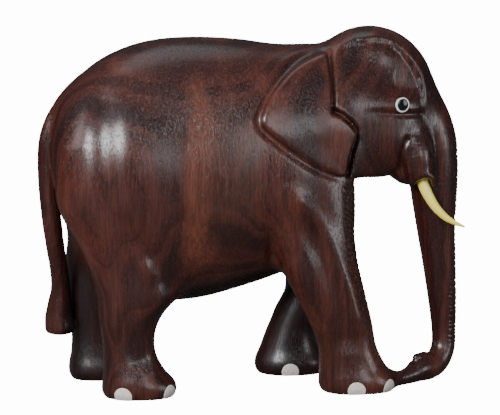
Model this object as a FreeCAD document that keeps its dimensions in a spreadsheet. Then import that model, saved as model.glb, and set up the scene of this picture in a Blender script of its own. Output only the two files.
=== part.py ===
"""Carved rosewood elephant, about 150 mm high: one carved block with inlaid eyes, tusks and toenails.

Frame: +X towards the head, +Y to the elephant's left, +Z up, millimetres. The soles stand on Z = 0, and the
origin lies under the middle of the model's box.

The block is built from lofts of ovals (trunk of the body, head, proboscis, tail and legs) and two padded ears,
fused into one blank. The inlays are seated in that blank: each has a pocket of its own size plus glue_gap.
"""

import FreeCAD, Part
import math
import os

import Sketcher
from FreeCAD import Placement, Rotation, Vector

SIZES = {
    # block: barrel of the body, standing clear of the ground by belly_clearance at the hind legs
    "belly_clearance": 38.0,
    "barrel_height": 108.5,
    "barrel_length": 124.0,
    "barrel_width": 69.0,
    # head, its crown above the line of the back
    "head_length": 53.0,
    "head_height": 62.0,
    "head_width": 46.0,
    "crown_rise": 4.0,
    # proboscis: thickness where it leaves the face and just above its curl
    "trunk_root": 20.0,
    "trunk_waist": 10.0,
    "trunk_ground_gap": 0.4,
    # ears, measured behind and above the ear's root, and how far they stand out from the middle
    "ear_reach": 36.0,
    "ear_height": 51.0,
    "ear_depth": 10.0,
    "ear_spread": 32.0,
    "ear_flare": 7.0,
    "ear_edge_round": 1.4,
    # legs
    "stance_width": 40.0,
    "foot_length": 32.0,
    "foot_width": 27.6,
    "ankle_length": 23.6,
    "ankle_width": 22.4,
    # tail
    "tail_width": 7.4,
    "tuft_width": 11.0,
    # eyes: a white ring let into the head, with a black bead in it
    "eye_ring_outer": 6.5,
    "eye_ring_inner": 4.9,
    "eye_ring_length": 2.6,
    "eye_ring_proud": 0.25,
    "eye_bead_length": 2.4,
    "eye_bead_dome": 0.5,
    "eye_turn": 16.0,
    # tusks: curved, tapering, with a straight peg glued into the cheek
    "tusk_base": 5.0,
    "tusk_tip": 1.1,
    "tusk_length": 26.0,
    "tusk_bend_radius": 34.0,
    "tusk_peg_length": 7.0,
    "tusk_drop": 68.0,
    "tusk_splay": 9.0,
    "tusk_spacing": 29.0,
    "sheath_wall": 2.4,
    # toenails: round plugs let into the rim of each foot and trimmed flush with it and with the sole
    "nail_width": 8.0,
    "nail_depth": 2.5,
    "nail_height": 1.8,
    # glue line round every inlay
    "glue_gap": 0.05,
}

SIDES = {"right": -1, "left": 1}

doc = FreeCAD.newDocument("carved_elephant")
sheet = doc.addObject("Spreadsheet::Sheet", "sizes")
for row, (alias, value) in enumerate(SIZES.items(), start=1):
    sheet.set(f"A{row}", alias)
    sheet.set(f"B{row}", str(value))
    sheet.setAlias(f"B{row}", alias)
doc.recompute()


def size(alias):
    """A driving dimension, read from the sheet."""
    return float(sheet.get(alias))


def bind(item, **expressions):
    """Ties properties of a document object to cells of the sheet."""
    for prop, text in expressions.items():
        item.setExpression(prop.replace("_at_", "."), text)
    return item


def across(direction, side=Vector(0, 1, 0)):
    """Rotation whose Z is the direction and whose Y is as near to the side as it can be."""
    return Rotation(side.cross(direction), side, direction, "ZYX")


def oval(name, major, minor, centre, turn):
    """An elliptical section. major and minor are half-axes given as expressions; the major one lies along
    the section's own X."""
    section = doc.addObject("Part::Ellipse", name)
    bind(section, MajorRadius=major, MinorRadius=minor)
    section.Placement = Placement(Vector(*centre), turn)
    return section


def ring(name, radius, centre, turn):
    """A circular section whose radius is an expression."""
    section = doc.addObject("Part::Circle", name)
    bind(section, Radius=radius)
    section.Placement = Placement(Vector(*centre), turn)
    return section


def loft(name, sections):
    body = doc.addObject("Part::Loft", name)
    body.Sections = sections
    body.Solid = True
    body.Ruled = False
    return body


# Reference heights and lengths that several pieces share.
BACK_TOP = size("belly_clearance") + size("barrel_height")
CROWN = BACK_TOP + size("crown_rise")
JAW = CROWN - size("head_height")
BARREL_REAR = -80.0
BARREL_FRONT = BARREL_REAR + size("barrel_length")
HEAD_REAR = BARREL_FRONT - 16.0
FACE = HEAD_REAR + size("head_length")
UPRIGHT = Rotation(Vector(0, 0, 1), Vector(0, 1, 0), Vector(-1, 0, 0), "ZXY")


def barrel():
    """Rump, belly, shoulders and neck: upright ovals along X.
    Each row is the place along the length, the middle's height, the half-height and the half-width, as shares."""
    rows = [
        (0.00, 0.510, 0.205, 0.200),
        (0.06, 0.480, 0.345, 0.345),
        (0.16, 0.470, 0.450, 0.445),
        (0.30, 0.490, 0.500, 0.495),
        (0.48, 0.508, 0.492, 0.500),
        (0.64, 0.524, 0.459, 0.485),
        (0.78, 0.545, 0.432, 0.450),
        (0.91, 0.590, 0.388, 0.375),
        (1.00, 0.640, 0.325, 0.300),
    ]
    sections = []
    for n, (along, middle, half_height, half_width) in enumerate(rows):
        centre = (
            BARREL_REAR + along * size("barrel_length"),
            0,
            size("belly_clearance") + middle * size("barrel_height"),
        )
        sections.append(
            oval(
                f"barrel_section_{n}",
                f"sizes.barrel_height * {half_height}",
                f"sizes.barrel_width * {half_width}",
                centre,
                UPRIGHT,
            )
        )
    return loft("barrel", sections)


def head():
    """Skull and jaw: upright ovals along X, from inside the neck to the face."""
    rows = [
        (0.00, 0.51, 0.350, 0.340),
        (0.18, 0.485, 0.475, 0.455),
        (0.42, 0.500, 0.500, 0.500),
        (0.61, 0.485, 0.485, 0.465),
        (0.76, 0.430, 0.440, 0.400),
        (0.89, 0.360, 0.375, 0.310),
        (1.00, 0.280, 0.280, 0.210),
    ]
    sections = []
    for n, (along, middle, half_height, half_width) in enumerate(rows):
        centre = (HEAD_REAR + along * size("head_length"), 0, JAW + middle * size("head_height"))
        sections.append(
            oval(
                f"head_section_{n}",
                f"sizes.head_height * {half_height}",
                f"sizes.head_width * {half_width}",
                centre,
                UPRIGHT,
            )
        )
    return loft("head", sections)


def along_path(name, points, radii):
    """Circles across a path, their normals along it, lofted into a tapering tube."""
    sections = []
    for n, (point, radius) in enumerate(zip(points, radii)):
        before = points[max(n - 1, 0)]
        after = points[min(n + 1, len(points) - 1)]
        heading = (after - before).normalize()
        sections.append(ring(f"{name}_section_{n}", radius, tuple(point), across(heading)))
    return loft(name, sections)


def proboscis(toe):
    """From the forehead down to its waist, round a quarter curl, then back to rest against the right toe."""
    face = FACE - 4.0
    curl = size("trunk_waist") * 0.6
    bottom = size("trunk_waist") / 2 + size("trunk_ground_gap")
    waist = Vector(face + 6.4, 0, bottom + curl)
    points = [
        Vector(face - 9.0, 0, JAW + 0.60 * size("head_height")),
        Vector(face - 3.5, 0, JAW + 0.30 * size("head_height")),
        Vector(face + 0.8, 0, JAW + 0.02 * size("head_height")),
        Vector(face + 2.6, 0, 0.78 * JAW),
        Vector(face + 4.0, 0, 0.56 * JAW),
        Vector(face + 5.4, 0, 0.36 * JAW),
        waist + Vector(-0.2, 0, 3.0),
        waist - Vector(0, 0, 0.5),
    ]
    radii = [
        "sizes.trunk_root * 0.44",
        "sizes.trunk_root * 0.50",
        "sizes.trunk_root * 0.48",
        "sizes.trunk_root * 0.41",
        "sizes.trunk_root * 0.22 + sizes.trunk_waist * 0.26",
        "sizes.trunk_root * 0.10 + sizes.trunk_waist * 0.40",
        "sizes.trunk_waist * 0.5",
        "sizes.trunk_waist * 0.49",
    ]
    hanging = along_path("proboscis", points, radii)

    back = Vector(toe.x - waist.x, toe.y - waist.y, 0).normalize()
    down = Vector(0, 0, -1)
    bend = doc.addObject("Part::Torus", "proboscis_curl")
    bind(bend, Radius1="sizes.trunk_waist * 0.6", Radius2="sizes.trunk_waist * 0.5")
    bend.Angle3 = 90
    bend.Placement = Placement(waist + back * curl, Rotation(-back, down, back.cross(Vector(0, 0, 1)), "XYZ"))

    # The tip is a little thinner than the curl and starts inside it.
    inside = waist + back * (curl - 2.0) + down * curl
    tip = doc.addObject("Part::Cone", "proboscis_tip")
    bind(tip, Radius1="sizes.trunk_waist * 0.46", Radius2="sizes.trunk_waist * 0.4")
    tip.Height = (toe - inside).Length
    tip.Placement = Placement(inside, across((toe - inside).normalize()))
    return [hanging, bend, tip]


def tail(leg_back):
    """Down the middle of the rump, then across to the back of the left hind leg, where its tuft is joined."""
    top = BACK_TOP
    out = -0.5 * size("tail_width")
    points = [
        Vector(BARREL_REAR + 4.0, 0, 0.83 * top),
        Vector(BARREL_REAR - 1.0, 0, 0.76 * top),
        Vector(BARREL_REAR + out - 0.8, 0, 0.66 * top),
        Vector(BARREL_REAR + out - 0.7, 0.5, 0.55 * top),
        Vector(BARREL_REAR + out + 0.5, 3.0, 0.43 * top),
        Vector(BARREL_REAR + out + 2.4, 6.5, 0.33 * top),
        leg_back + Vector(-5.4, -4.0, 14.0),
        leg_back + Vector(-4.6, -3.0, 6.5),
        leg_back + Vector(-4.4, -2.6, 0.5),
        leg_back + Vector(-3.8, -2.4, -5.0),
    ]
    radii = [
        "sizes.tail_width * 0.45",
        "sizes.tail_width * 0.52",
        "sizes.tail_width * 0.52",
        "sizes.tail_width * 0.50",
        "sizes.tail_width * 0.46",
        "sizes.tail_width * 0.42",
        "sizes.tail_width * 0.40",
        "sizes.tuft_width * 0.46",
        "sizes.tuft_width * 0.50",
        "sizes.tuft_width * 0.36",
    ]
    return along_path("tail", points, radii)


# Each leg: the side it is on, the middle of its foot along X, and the middles of its sections above, from the
# rim of the foot to the hip, as steps forward of the foot.
LEGS = {
    "front_right": (-1, 42.5, [0.0, -2.0, -4.5, -8.0, -13.5, -17.0, -18.5, -19.5]),
    "front_left": (1, 20.5, [0.0, -0.9, -0.3, 4.7, 9.0, 7.0, 3.3, 1.0]),
    "hind_right": (-1, -48.5, [0.0, -2.2, -4.5, -3.5, -2.5, -3.0, -2.0, -1.0]),
    "hind_left": (1, -60.5, [0.0, -2.0, -2.5, -0.5, 3.0, 6.5, 9.0, 11.0]),
}
# How thick each section is above the foot: height, then half-length and half-width as shares of the ankle's.
LEG_ROWS = {
    "front": [
        (10, 1.16, 1.12),
        (18, 1.02, 1.00),
        (30, 1.10, 1.02),
        (45, 1.28, 1.08),
        (61, 1.40, 1.12),
        (78, 1.30, 1.00),
        (92, 1.00, 0.70),
    ],
    "hind": [
        (8, 1.10, 1.12),
        (20, 0.95, 1.00),
        (34, 1.18, 1.06),
        (47, 1.62, 1.14),
        (62, 1.92, 1.16),
        (78, 1.80, 1.00),
        (92, 1.30, 0.70),
    ],
}
FOOT_RIM = 3.5


def foot_middle(leg):
    side, along, _ = LEGS[leg]
    return Vector(along, side * size("stance_width") / 2, 0)


def make_leg(leg):
    """Flat sole, swelling rim, ankle, knee and hip: level ovals stacked along Z."""
    side, along, steps = LEGS[leg]
    rise = (size("belly_clearance") + 0.5 * size("barrel_height")) / 92.2
    lean_in = 0.08 * size("stance_width")
    foot = foot_middle(leg)
    sections = [
        oval(f"{leg}_sole", "sizes.foot_length * 0.475", "sizes.foot_width * 0.465", tuple(foot), Rotation()),
        oval(
            f"{leg}_rim",
            "sizes.foot_length * 0.5",
            "sizes.foot_width * 0.5",
            (foot.x, foot.y, FOOT_RIM),
            Rotation(),
        ),
    ]
    for n, (height, half_length, half_width) in enumerate(LEG_ROWS[leg.split("_")[0]]):
        share = height / LEG_ROWS[leg.split("_")[0]][-1][0]
        centre = (foot.x + steps[n + 1], foot.y - side * lean_in * share, height * rise)
        sections.append(
            oval(
                f"{leg}_section_{n}",
                f"sizes.ankle_length * {half_length / 2}",
                f"sizes.ankle_width * {half_width / 2}",
                centre,
                Rotation(),
            )
        )
    return loft(f"{leg}_leg", sections)


def make_ear(name, side):
    """A flat flap: its outline is drawn upright, padded outwards, rounded at the rim and turned to flare."""
    ear = doc.addObject("PartDesign::Body", f"{name}_ear")
    outline = ear.newObject("Sketcher::SketchObject", f"{name}_ear_outline")
    plane = next(f for f in ear.Origin.OriginFeatures if f.Role == "XZ_Plane")
    outline.AttachmentSupport = [(plane, "")]
    outline.MapMode = "FlatFace"
    # Corners behind (-) and ahead (+) of the root, and above it, as shares of the reach and of the height.
    corners = [
        (0.03, 0.49),
        (-0.12, 0.47),
        (-0.40, 0.30),
        (-0.64, 0.10),
        (-0.79, -0.06),
        (-0.73, -0.15),
        (-0.36, -0.38),
        (0.12, -0.51),
        (0.25, -0.20),
        (0.00, 0.00),
    ]
    reach, height = size("ear_reach"), size("ear_height")
    points = [Vector(a * reach, b * height, 0) for a, b in corners]
    for n, point in enumerate(points):
        outline.addGeometry(Part.LineSegment(point, points[(n + 1) % len(points)]), False)
    for n in range(len(points)):
        outline.addConstraint(Sketcher.Constraint("Coincident", n, 2, (n + 1) % len(points), 1))
    for n, (a, b) in enumerate(corners):
        for kind, share, cell in (("DistanceX", a, "ear_reach"), ("DistanceY", b, "ear_height")):
            if share == 0:
                outline.addConstraint(Sketcher.Constraint("PointOnObject", n, 1, -2 if kind == "DistanceX" else -1))
                continue
            index = outline.addConstraint(Sketcher.Constraint(kind, -1, 1, n, 1, share * size(cell)))
            outline.setExpression(f"Constraints[{index}]", f"sizes.{cell} * {share}")
    pad = ear.newObject("PartDesign::Pad", f"{name}_ear_pad")
    pad.Profile = outline
    bind(pad, Length="sizes.ear_depth")
    pad.Reversed = side > 0
    doc.recompute()
    far = min if side < 0 else max
    rim = far(range(len(pad.Shape.Faces)), key=lambda i: pad.Shape.Faces[i].CenterOfMass.y)
    rounding = ear.newObject("PartDesign::Fillet", f"{name}_ear_round")
    rounding.Base = (pad, [f"Face{rim + 1}"])
    bind(rounding, Radius="min(sizes.ear_edge_round; sizes.ear_depth / 3)")
    ear.Tip = rounding
    inner = size("ear_spread") - size("ear_depth")
    ear.Placement = Placement(
        Vector(HEAD_REAR + 1.8, side * inner, JAW + 0.47 * size("head_height")),
        Rotation(Vector(0, 0, 1), side * -size("ear_flare")),
    )
    return ear


def lateral(angle_deg, side, down_deg=0.0):
    """Unit vector pointing out to a side, turned forward by an angle and down by another."""
    turn, down = math.radians(angle_deg), math.radians(down_deg)
    return Vector(
        math.sin(turn) * math.cos(down), side * math.cos(turn) * math.cos(down), -math.sin(down)
    )


def tusk_root(side):
    """Where the tusk leaves its sheath, and the way it points there."""
    drop, splay = math.radians(size("tusk_drop")), math.radians(size("tusk_splay"))
    heading = Vector(math.cos(drop) * math.cos(splay), side * math.sin(splay), -math.sin(drop) * math.cos(splay))
    return Vector(FACE - 9.8, side * size("tusk_spacing") / 2, JAW - 3.6), heading.normalize()


def make_sheath(name, side):
    """The swelling of the upper lip that holds a tusk."""
    mouth, heading = tusk_root(side)
    sheath = doc.addObject("Part::Cone", f"{name}_sheath")
    bind(
        sheath,
        Radius1="sizes.tusk_base / 2 + sizes.sheath_wall * 1.3",
        Radius2="sizes.tusk_base / 2 + sizes.sheath_wall",
        Height="sizes.tusk_peg_length * 2.6",
    )
    doc.recompute()
    start = mouth - heading * sheath.Height.Value
    sheath.Placement = Placement(start, across(heading))
    return sheath


toe_end = foot_middle("front_right") + Vector(0.5 * size("foot_length") - 4.0, 1.5, 4.6)
left_ankle_back = foot_middle("hind_left") + Vector(-0.5 * size("ankle_length") - 2.0, -4.0, 27.0)
pieces = [barrel(), head(), tail(left_ankle_back)] + proboscis(toe_end)
pieces += [make_leg(leg) for leg in LEGS]
pieces += [make_ear(name, side) for name, side in SIDES.items()]
pieces += [make_sheath(name, side) for name, side in SIDES.items()]
blank = doc.addObject("Part::MultiFuse", "carved_blank")
blank.Shapes = pieces
blank.Refine = False
doc.recompute()

pockets = []
subparts = []


def surface_point(through, outward):
    """Where a line from outside, coming in against outward, first meets the blank."""
    far = through + outward * 200
    inside = Part.makeLine(far, through).common(blank.Shape)
    return min((v.Point for v in inside.Vertexes), key=lambda p: (p - far).Length)


def circle_sketch(body, name, diameters):
    """A sketch of circles about the origin on the body's own XY plane, their diameters given as expressions."""
    sketch = body.newObject("Sketcher::SketchObject", name)
    plane = next(f for f in body.Origin.OriginFeatures if f.Role == "XY_Plane")
    sketch.AttachmentSupport = [(plane, "")]
    sketch.MapMode = "FlatFace"
    for n, text in enumerate(diameters):
        sketch.addGeometry(Part.Circle(Vector(), Vector(0, 0, 1), 1.0 + n), False)
        sketch.addConstraint(Sketcher.Constraint("Coincident", n, 3, -1, 1))
        index = sketch.addConstraint(Sketcher.Constraint("Diameter", n, 2.0 + 2 * n))
        sketch.setExpression(f"Constraints[{index}]", text)
    return sketch


def make_eye(name, side):
    """A short white tube let into the head, and the black bead glued into it."""
    outward = lateral(size("eye_turn"), side)
    aim = Vector(HEAD_REAR + 0.551 * size("head_length"), side * 6.0, JAW + 0.485 * size("head_height"))
    seat = surface_point(aim, outward)
    length, proud = size("eye_ring_length"), size("eye_ring_proud")
    base = Placement(seat - outward * (length - proud), across(outward, Vector(0, 0, 1)))

    tube = doc.addObject("PartDesign::Body", f"{name}_eye_ring")
    tube.Label = f"{name}_eye_ring"
    wall = circle_sketch(tube, f"{name}_eye_ring_wall", ["sizes.eye_ring_outer", "sizes.eye_ring_inner"])
    pad = tube.newObject("PartDesign::Pad", f"{name}_eye_ring_pad")
    pad.Profile = wall
    bind(pad, Length="sizes.eye_ring_length")
    tube.Placement = base

    stem = doc.addObject("Part::Cylinder", f"{name}_eye_bead_stem")
    bind(
        stem,
        Radius="sizes.eye_ring_inner / 2 - sizes.glue_gap",
        Height="sizes.eye_bead_length + sizes.eye_bead_dome",
    )
    stem.Placement = base
    radius, rise = size("eye_ring_inner") / 2 - size("glue_gap"), size("eye_bead_dome")
    curve = (radius**2 + rise**2) / (2 * rise)
    dome = doc.addObject("Part::Sphere", f"{name}_eye_bead_dome")
    dome.Radius = curve
    dome.Placement = Placement(base.Base + outward * (size("eye_bead_length") + rise - curve), base.Rotation)
    bead = doc.addObject("Part::Common", f"{name}_eye_bead")
    bead.Base = stem
    bead.Tool = dome
    bead.Label = f"{name}_eye_bead"

    pocket = doc.addObject("Part::Cylinder", f"{name}_eye_pocket")
    bind(pocket, Radius="sizes.eye_ring_outer / 2 + sizes.glue_gap", Height="sizes.eye_ring_length * 3")
    floor = base.Base - outward * size("glue_gap")
    pocket.Placement = Placement(floor, base.Rotation)
    pockets.append(pocket)
    subparts.extend([tube, bead])


def make_tusk(name, side):
    """A straight peg in the sheath, then a tapering horn that bends forward as it goes."""
    mouth, heading = tusk_root(side)
    forward = (Vector(1, 0, 0) - heading * heading.x).normalize()
    bend, length = size("tusk_bend_radius"), size("tusk_length")
    peg = size("tusk_peg_length")
    sections = [
        ring(f"{name}_tusk_foot", "sizes.tusk_base / 2", tuple(mouth - heading * peg), across(heading)),
        ring(f"{name}_tusk_neck", "sizes.tusk_base / 2", tuple(mouth - heading * peg / 2), across(heading)),
    ]
    shares = [(0.0, 0.0), (0.25, 0.13), (0.5, 0.32), (0.75, 0.60), (1.0, 1.0)]
    for n, (along, slimmed) in enumerate(shares):
        turned = along * length / bend
        point = mouth + heading * bend * math.sin(turned) + forward * bend * (1 - math.cos(turned))
        facing = heading * math.cos(turned) + forward * math.sin(turned)
        radius = f"(sizes.tusk_base - (sizes.tusk_base - sizes.tusk_tip) * {slimmed}) / 2"
        sections.append(ring(f"{name}_tusk_section_{n}", radius, tuple(point), across(facing)))
    tusk = loft(f"{name}_tusk", sections)
    tusk.Label = f"{name}_tusk"
    pocket = doc.addObject("Part::Cylinder", f"{name}_tusk_pocket")
    bind(pocket, Radius="sizes.tusk_base / 2 + sizes.glue_gap", Height="sizes.tusk_peg_length * 2")
    pocket.Placement = Placement(mouth - heading * (peg + size("glue_gap")), across(heading))
    pockets.append(pocket)
    subparts.append(tusk)


# Where the nails sit round each foot, as angles forward of straight out to the side. Forefeet have four and
# hind feet three, but the tip of the trunk covers the inner corner of the right forefoot, so it has three.
NAIL_ANGLES = {
    "front_right": {"outer_side": -8.0, "outer_corner": 49.0, "inner_side": -8.0},
    "front_left": {"outer_side": -8.0, "outer_corner": 49.0, "inner_corner": 58.0, "inner_side": -8.0},
    "hind_right": {"outer_side": -28.0, "outer_corner": 49.0, "inner_corner": 49.0},
    "hind_left": {"outer_side": -28.0, "outer_corner": 49.0, "inner_corner": 49.0},
}


def make_nail(leg, place, angle_deg):
    """A round plug cut to the foot's own surface, so it is flush with the rim and with the sole."""
    side = LEGS[leg][0] * (1 if place.startswith("outer") else -1)
    angle = math.radians(angle_deg)
    half_length, half_width = size("foot_length") / 2, size("foot_width") / 2
    rim = Vector(half_length * math.sin(angle), side * half_width * math.cos(angle), 0)
    outward = Vector(math.sin(angle) / half_length, side * math.cos(angle) / half_width, 0).normalize()
    seat = foot_middle(leg) + rim + Vector(0, 0, size("nail_height"))
    turn = across(outward, Vector(0, 0, 1))
    name = f"{leg}_{place}_nail"

    plug = doc.addObject("Part::Cylinder", f"{name}_plug")
    bind(plug, Radius="sizes.nail_width / 2", Height="sizes.nail_depth * 2")
    plug.Placement = Placement(seat - outward * size("nail_depth"), turn)
    nail = doc.addObject("Part::Common", name)
    nail.Base = blank
    nail.Tool = plug
    nail.Label = name

    pocket = doc.addObject("Part::Cylinder", f"{name}_pocket")
    bind(pocket, Radius="sizes.nail_width / 2 + sizes.glue_gap", Height="sizes.nail_depth * 2 + sizes.glue_gap")
    pocket.Placement = Placement(seat - outward * (size("nail_depth") + size("glue_gap")), turn)
    pockets.append(pocket)
    subparts.append(nail)


for name, side in SIDES.items():
    make_eye(name, side)
    make_tusk(name, side)
for leg in LEGS:
    for place, angle_deg in NAIL_ANGLES[leg].items():
        make_nail(leg, place, angle_deg)

all_pockets = doc.addObject("Part::MultiFuse", "all_pockets")
all_pockets.Shapes = pockets
body = doc.addObject("Part::Cut", "carved_body")
body.Base = blank
body.Tool = all_pockets
body.Label = "carved_body"
subparts.insert(0, body)
doc.recompute()

# The origin is set under the middle of the whole model's box. The soles are already on Z = 0.
points = [point for item in subparts for point in item.Shape.tessellate(0.1)[0]]
middle = Vector(
    (min(p.x for p in points) + max(p.x for p in points)) / 2,
    (min(p.y for p in points) + max(p.y for p in points)) / 2,
    0,
)
for item in subparts:
    item.Placement = Placement(-middle, Rotation()).multiply(item.Placement)
doc.recompute()

for item in doc.Objects:
    if {"Invalid", "Error"} & set(item.State):
        raise SystemExit(f"{item.Label} failed to build: {item.State}")
os.makedirs("parts", exist_ok=True)
for item in subparts:
    if item.Shape.isNull() or not item.Shape.isValid() or item.Shape.Volume <= 0:
        raise SystemExit(f"{item.Label} isn't a sound solid")
    item.Shape.exportStep(f"parts/{item.Label}.step")
    print(f"{item.Label:36s} {len(item.Shape.Solids)} solid(s) {item.Shape.Volume:10.1f} mm3")
print("moved by", -middle)
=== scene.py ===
import math

import bmesh
import bpy
import numpy as np
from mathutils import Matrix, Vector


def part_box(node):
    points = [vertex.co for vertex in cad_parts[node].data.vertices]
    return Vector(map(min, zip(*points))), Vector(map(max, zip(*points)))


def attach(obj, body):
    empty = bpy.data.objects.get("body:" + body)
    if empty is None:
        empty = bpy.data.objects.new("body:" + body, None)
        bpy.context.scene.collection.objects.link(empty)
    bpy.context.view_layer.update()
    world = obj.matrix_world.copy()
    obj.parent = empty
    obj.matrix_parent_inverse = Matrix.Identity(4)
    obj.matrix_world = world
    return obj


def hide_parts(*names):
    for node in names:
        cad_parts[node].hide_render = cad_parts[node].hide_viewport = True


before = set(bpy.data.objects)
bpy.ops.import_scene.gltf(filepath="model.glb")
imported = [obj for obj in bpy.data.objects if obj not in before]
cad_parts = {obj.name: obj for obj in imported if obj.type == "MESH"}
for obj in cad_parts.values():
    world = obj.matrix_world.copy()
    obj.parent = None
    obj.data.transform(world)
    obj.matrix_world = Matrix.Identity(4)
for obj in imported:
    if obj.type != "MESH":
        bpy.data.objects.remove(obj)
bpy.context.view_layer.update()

import openvdb
from mathutils import Vector

# ---------------------------------------------------------------------------------------------------------
# The carved block. One piece of rosewood, grain upright, sawn to a blank, roughed out with gouges, planed
# and scraped smooth, then stained and waxed. Ears, trunk, tail and legs belong to it. Its form is given here
# in millimetres as a field of signed distances, and a skin is drawn where the field is nought.

MM = 0.001
block_low, block_high = (np.array(corner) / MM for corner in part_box("carved_body"))


def smooth_curve(at, places, values):
    """A smooth curve through given points."""
    places, values = np.asarray(places, float), np.asarray(values, float)
    slopes = np.gradient(values, places)
    n = np.clip(np.searchsorted(places, at) - 1, 0, len(places) - 2)
    gap = places[n + 1] - places[n]
    t = np.clip((at - places[n]) / gap, 0, 1)
    start = values[n] * (1 + 2 * t) * (1 - t) ** 2 + gap * slopes[n] * t * (1 - t) ** 2
    return start + values[n + 1] * t * t * (3 - 2 * t) + gap * slopes[n + 1] * t * t * (t - 1)


def join(a, b, soft):
    """Adds two forms, with a fillet of about the soft width between them."""
    h = np.clip(0.5 + 0.5 * (b - a) / soft, 0, 1)
    return b + (a - b) * h - soft * h * (1 - h)


def cut(a, b, soft):
    """Takes form b away from form a."""
    return -join(-a, b, soft)


def meet(a, b, soft):
    """What two forms have in common."""
    return -join(-a, -b, soft)


def ovoid(p, centre, radii, turn=0.0, lean=0.0):
    """An egg. It is turned about Z, then leant about Y, both in degrees."""
    x, y, z = (c - m for c, m in zip(p, centre))
    if turn:
        a = math.radians(turn)
        x, y = x * math.cos(a) + y * math.sin(a), y * math.cos(a) - x * math.sin(a)
    if lean:
        a = math.radians(lean)
        x, z = x * math.cos(a) + z * math.sin(a), z * math.cos(a) - x * math.sin(a)
    k = np.sqrt((x / radii[0]) ** 2 + (y / radii[1]) ** 2 + (z / radii[2]) ** 2)
    g = np.sqrt((x / radii[0] ** 2) ** 2 + (y / radii[1] ** 2) ** 2 + (z / radii[2] ** 2) ** 2)
    return k * (k - 1) / np.maximum(g, 1e-6)


def oval(across, up, half_across, half_up, square=2.0):
    """How far outside an oval a point is. A larger square makes the oval's corners fuller."""
    a, b = np.abs(across) / half_across, np.abs(up) / half_up
    k = np.maximum((a**square + b**square) ** (1 / square), 1e-3)
    slope = np.hypot((a / k) ** (square - 1) / half_across, (b / k) ** (square - 1) / half_up)
    return (k - 1) / np.maximum(slope, 1e-4)


def rod(p, path, widths, flat=1.0, steps=5, power=2.0):
    """A tapering limb along a smooth path. flat widens it across Y; a power under 2 gives it four edges."""
    path = np.asarray(path, float)
    knots = np.arange(len(path))
    fine = np.linspace(0, len(path) - 1, (len(path) - 1) * steps + 1)
    line = np.stack([smooth_curve(fine, knots, path[:, n]) for n in range(3)], axis=1)
    width = smooth_curve(fine, knots, widths)
    x, y, z = p
    best = np.full(x.shape, 1e3)
    for a, b, ra, rb in zip(line[:-1], line[1:], width[:-1], width[1:]):
        d = b - a
        t = ((x - a[0]) * d[0] + (y - a[1]) * d[1] + (z - a[2]) * d[2]) / d.dot(d)
        t = np.clip(t, 0, 1)
        gaps = (x - a[0] - d[0] * t, (y - a[1] - d[1] * t) / flat, z - a[2] - d[2] * t)
        far = sum(np.abs(gap) ** power for gap in gaps) ** (1 / power)
        best = np.minimum(best, far - ra - (rb - ra) * t)
    return best


def outline(u, v, corners, rounded=True):
    """Signed distance to a closed outline in a plane."""
    corners = np.asarray(corners, float)
    if rounded:
        count = len(corners)
        knots = np.arange(-2, count + 3)
        ring = corners[knots % count]
        fine = np.linspace(0, count, count * 4, endpoint=False)
        corners = np.stack([smooth_curve(fine, knots, ring[:, n]) for n in range(2)], axis=1)
    best, inside = np.full(u.shape, 1e9), np.ones(u.shape)
    for a, b in zip(corners, np.roll(corners, -1, axis=0)):
        e, wu, wv = b - a, u - a[0], v - a[1]
        t = np.clip((wu * e[0] + wv * e[1]) / e.dot(e), 0, 1)
        best = np.minimum(best, (wu - e[0] * t) ** 2 + (wv - e[1] * t) ** 2)
        crossing = e[0] * wv - e[1] * wu
        flip = ((v >= a[1]) & (v < b[1]) & (crossing > 0)) | ((v < a[1]) & (v >= b[1]) & (crossing < 0))
        inside[flip] *= -1
    return np.sqrt(best) * inside


def along_line(u, v, points):
    """Distance from an open line in a plane, and how far along it the nearest point lies."""
    points = np.asarray(points, float)
    best, where, run = np.full(u.shape, 1e3), np.zeros(u.shape), 0.0
    for a, b in zip(points[:-1], points[1:]):
        e, wu, wv = b - a, u - a[0], v - a[1]
        length = np.linalg.norm(e)
        t = np.clip((wu * e[0] + wv * e[1]) / e.dot(e), 0, 1)
        far = np.hypot(wu - e[0] * t, wv - e[1] * t)
        where = np.where(far < best, run + t * length, where)
        best = np.minimum(best, far)
        run += length
    return best, where, run


def only_at(chosen, field, p, elsewhere):
    """Works a field out at chosen points only, which saves time."""
    value = np.full(p[0].shape, elsewhere)
    value[chosen] = field(*(c[chosen] for c in p))
    return value


# Barrel of the body: place along X, widest line's height, top, bottom, half-width.
BARREL = np.array([
    (-83.6, 97.0, 97.0, 97.0, 0.0),
    (-82.4, 99.0, 109.5, 89.5, 9.5),
    (-79.0, 98.0, 120.5, 81.0, 18.0),
    (-71.0, 93.0, 130.4, 63.0, 26.8),
    (-59.0, 88.0, 139.0, 43.0, 31.4),
    (-42.0, 84.0, 144.8, 36.8, 33.2),
    (-22.0, 84.0, 146.2, 37.0, 33.6),
    (-5.0, 86.0, 145.2, 41.2, 33.0),
    (12.0, 88.0, 143.0, 46.8, 31.4),
    (28.0, 93.0, 142.9, 54.0, 28.5),
    (42.0, 102.0, 142.0, 65.0, 24.0),
    (58.0, 110.0, 138.0, 84.0, 17.0),
])


def barrel(p):
    x, y, z = p

    def shell(x):
        at = np.sqrt(np.clip(x - BARREL[0, 0], 1e-4, None))
        places = np.sqrt(BARREL[:, 0] - BARREL[0, 0])
        middle, top, bottom, half = (smooth_curve(at, places, BARREL[:, n]) for n in range(1, 5))
        tall = np.maximum(np.where(z > middle, top - middle, middle - bottom), 0.4)
        return oval(y, z - middle, np.maximum(half, 0.4), tall, 2.12)

    here = shell(x)
    slope = (shell(x + 0.5) - shell(x - 0.5)) / 1.0
    form = here / np.sqrt(1 + np.clip(slope, -3, 3) ** 2)
    form = np.maximum(form, BARREL[0, 0] - x)
    return np.maximum(form, x - 56.0)


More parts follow.
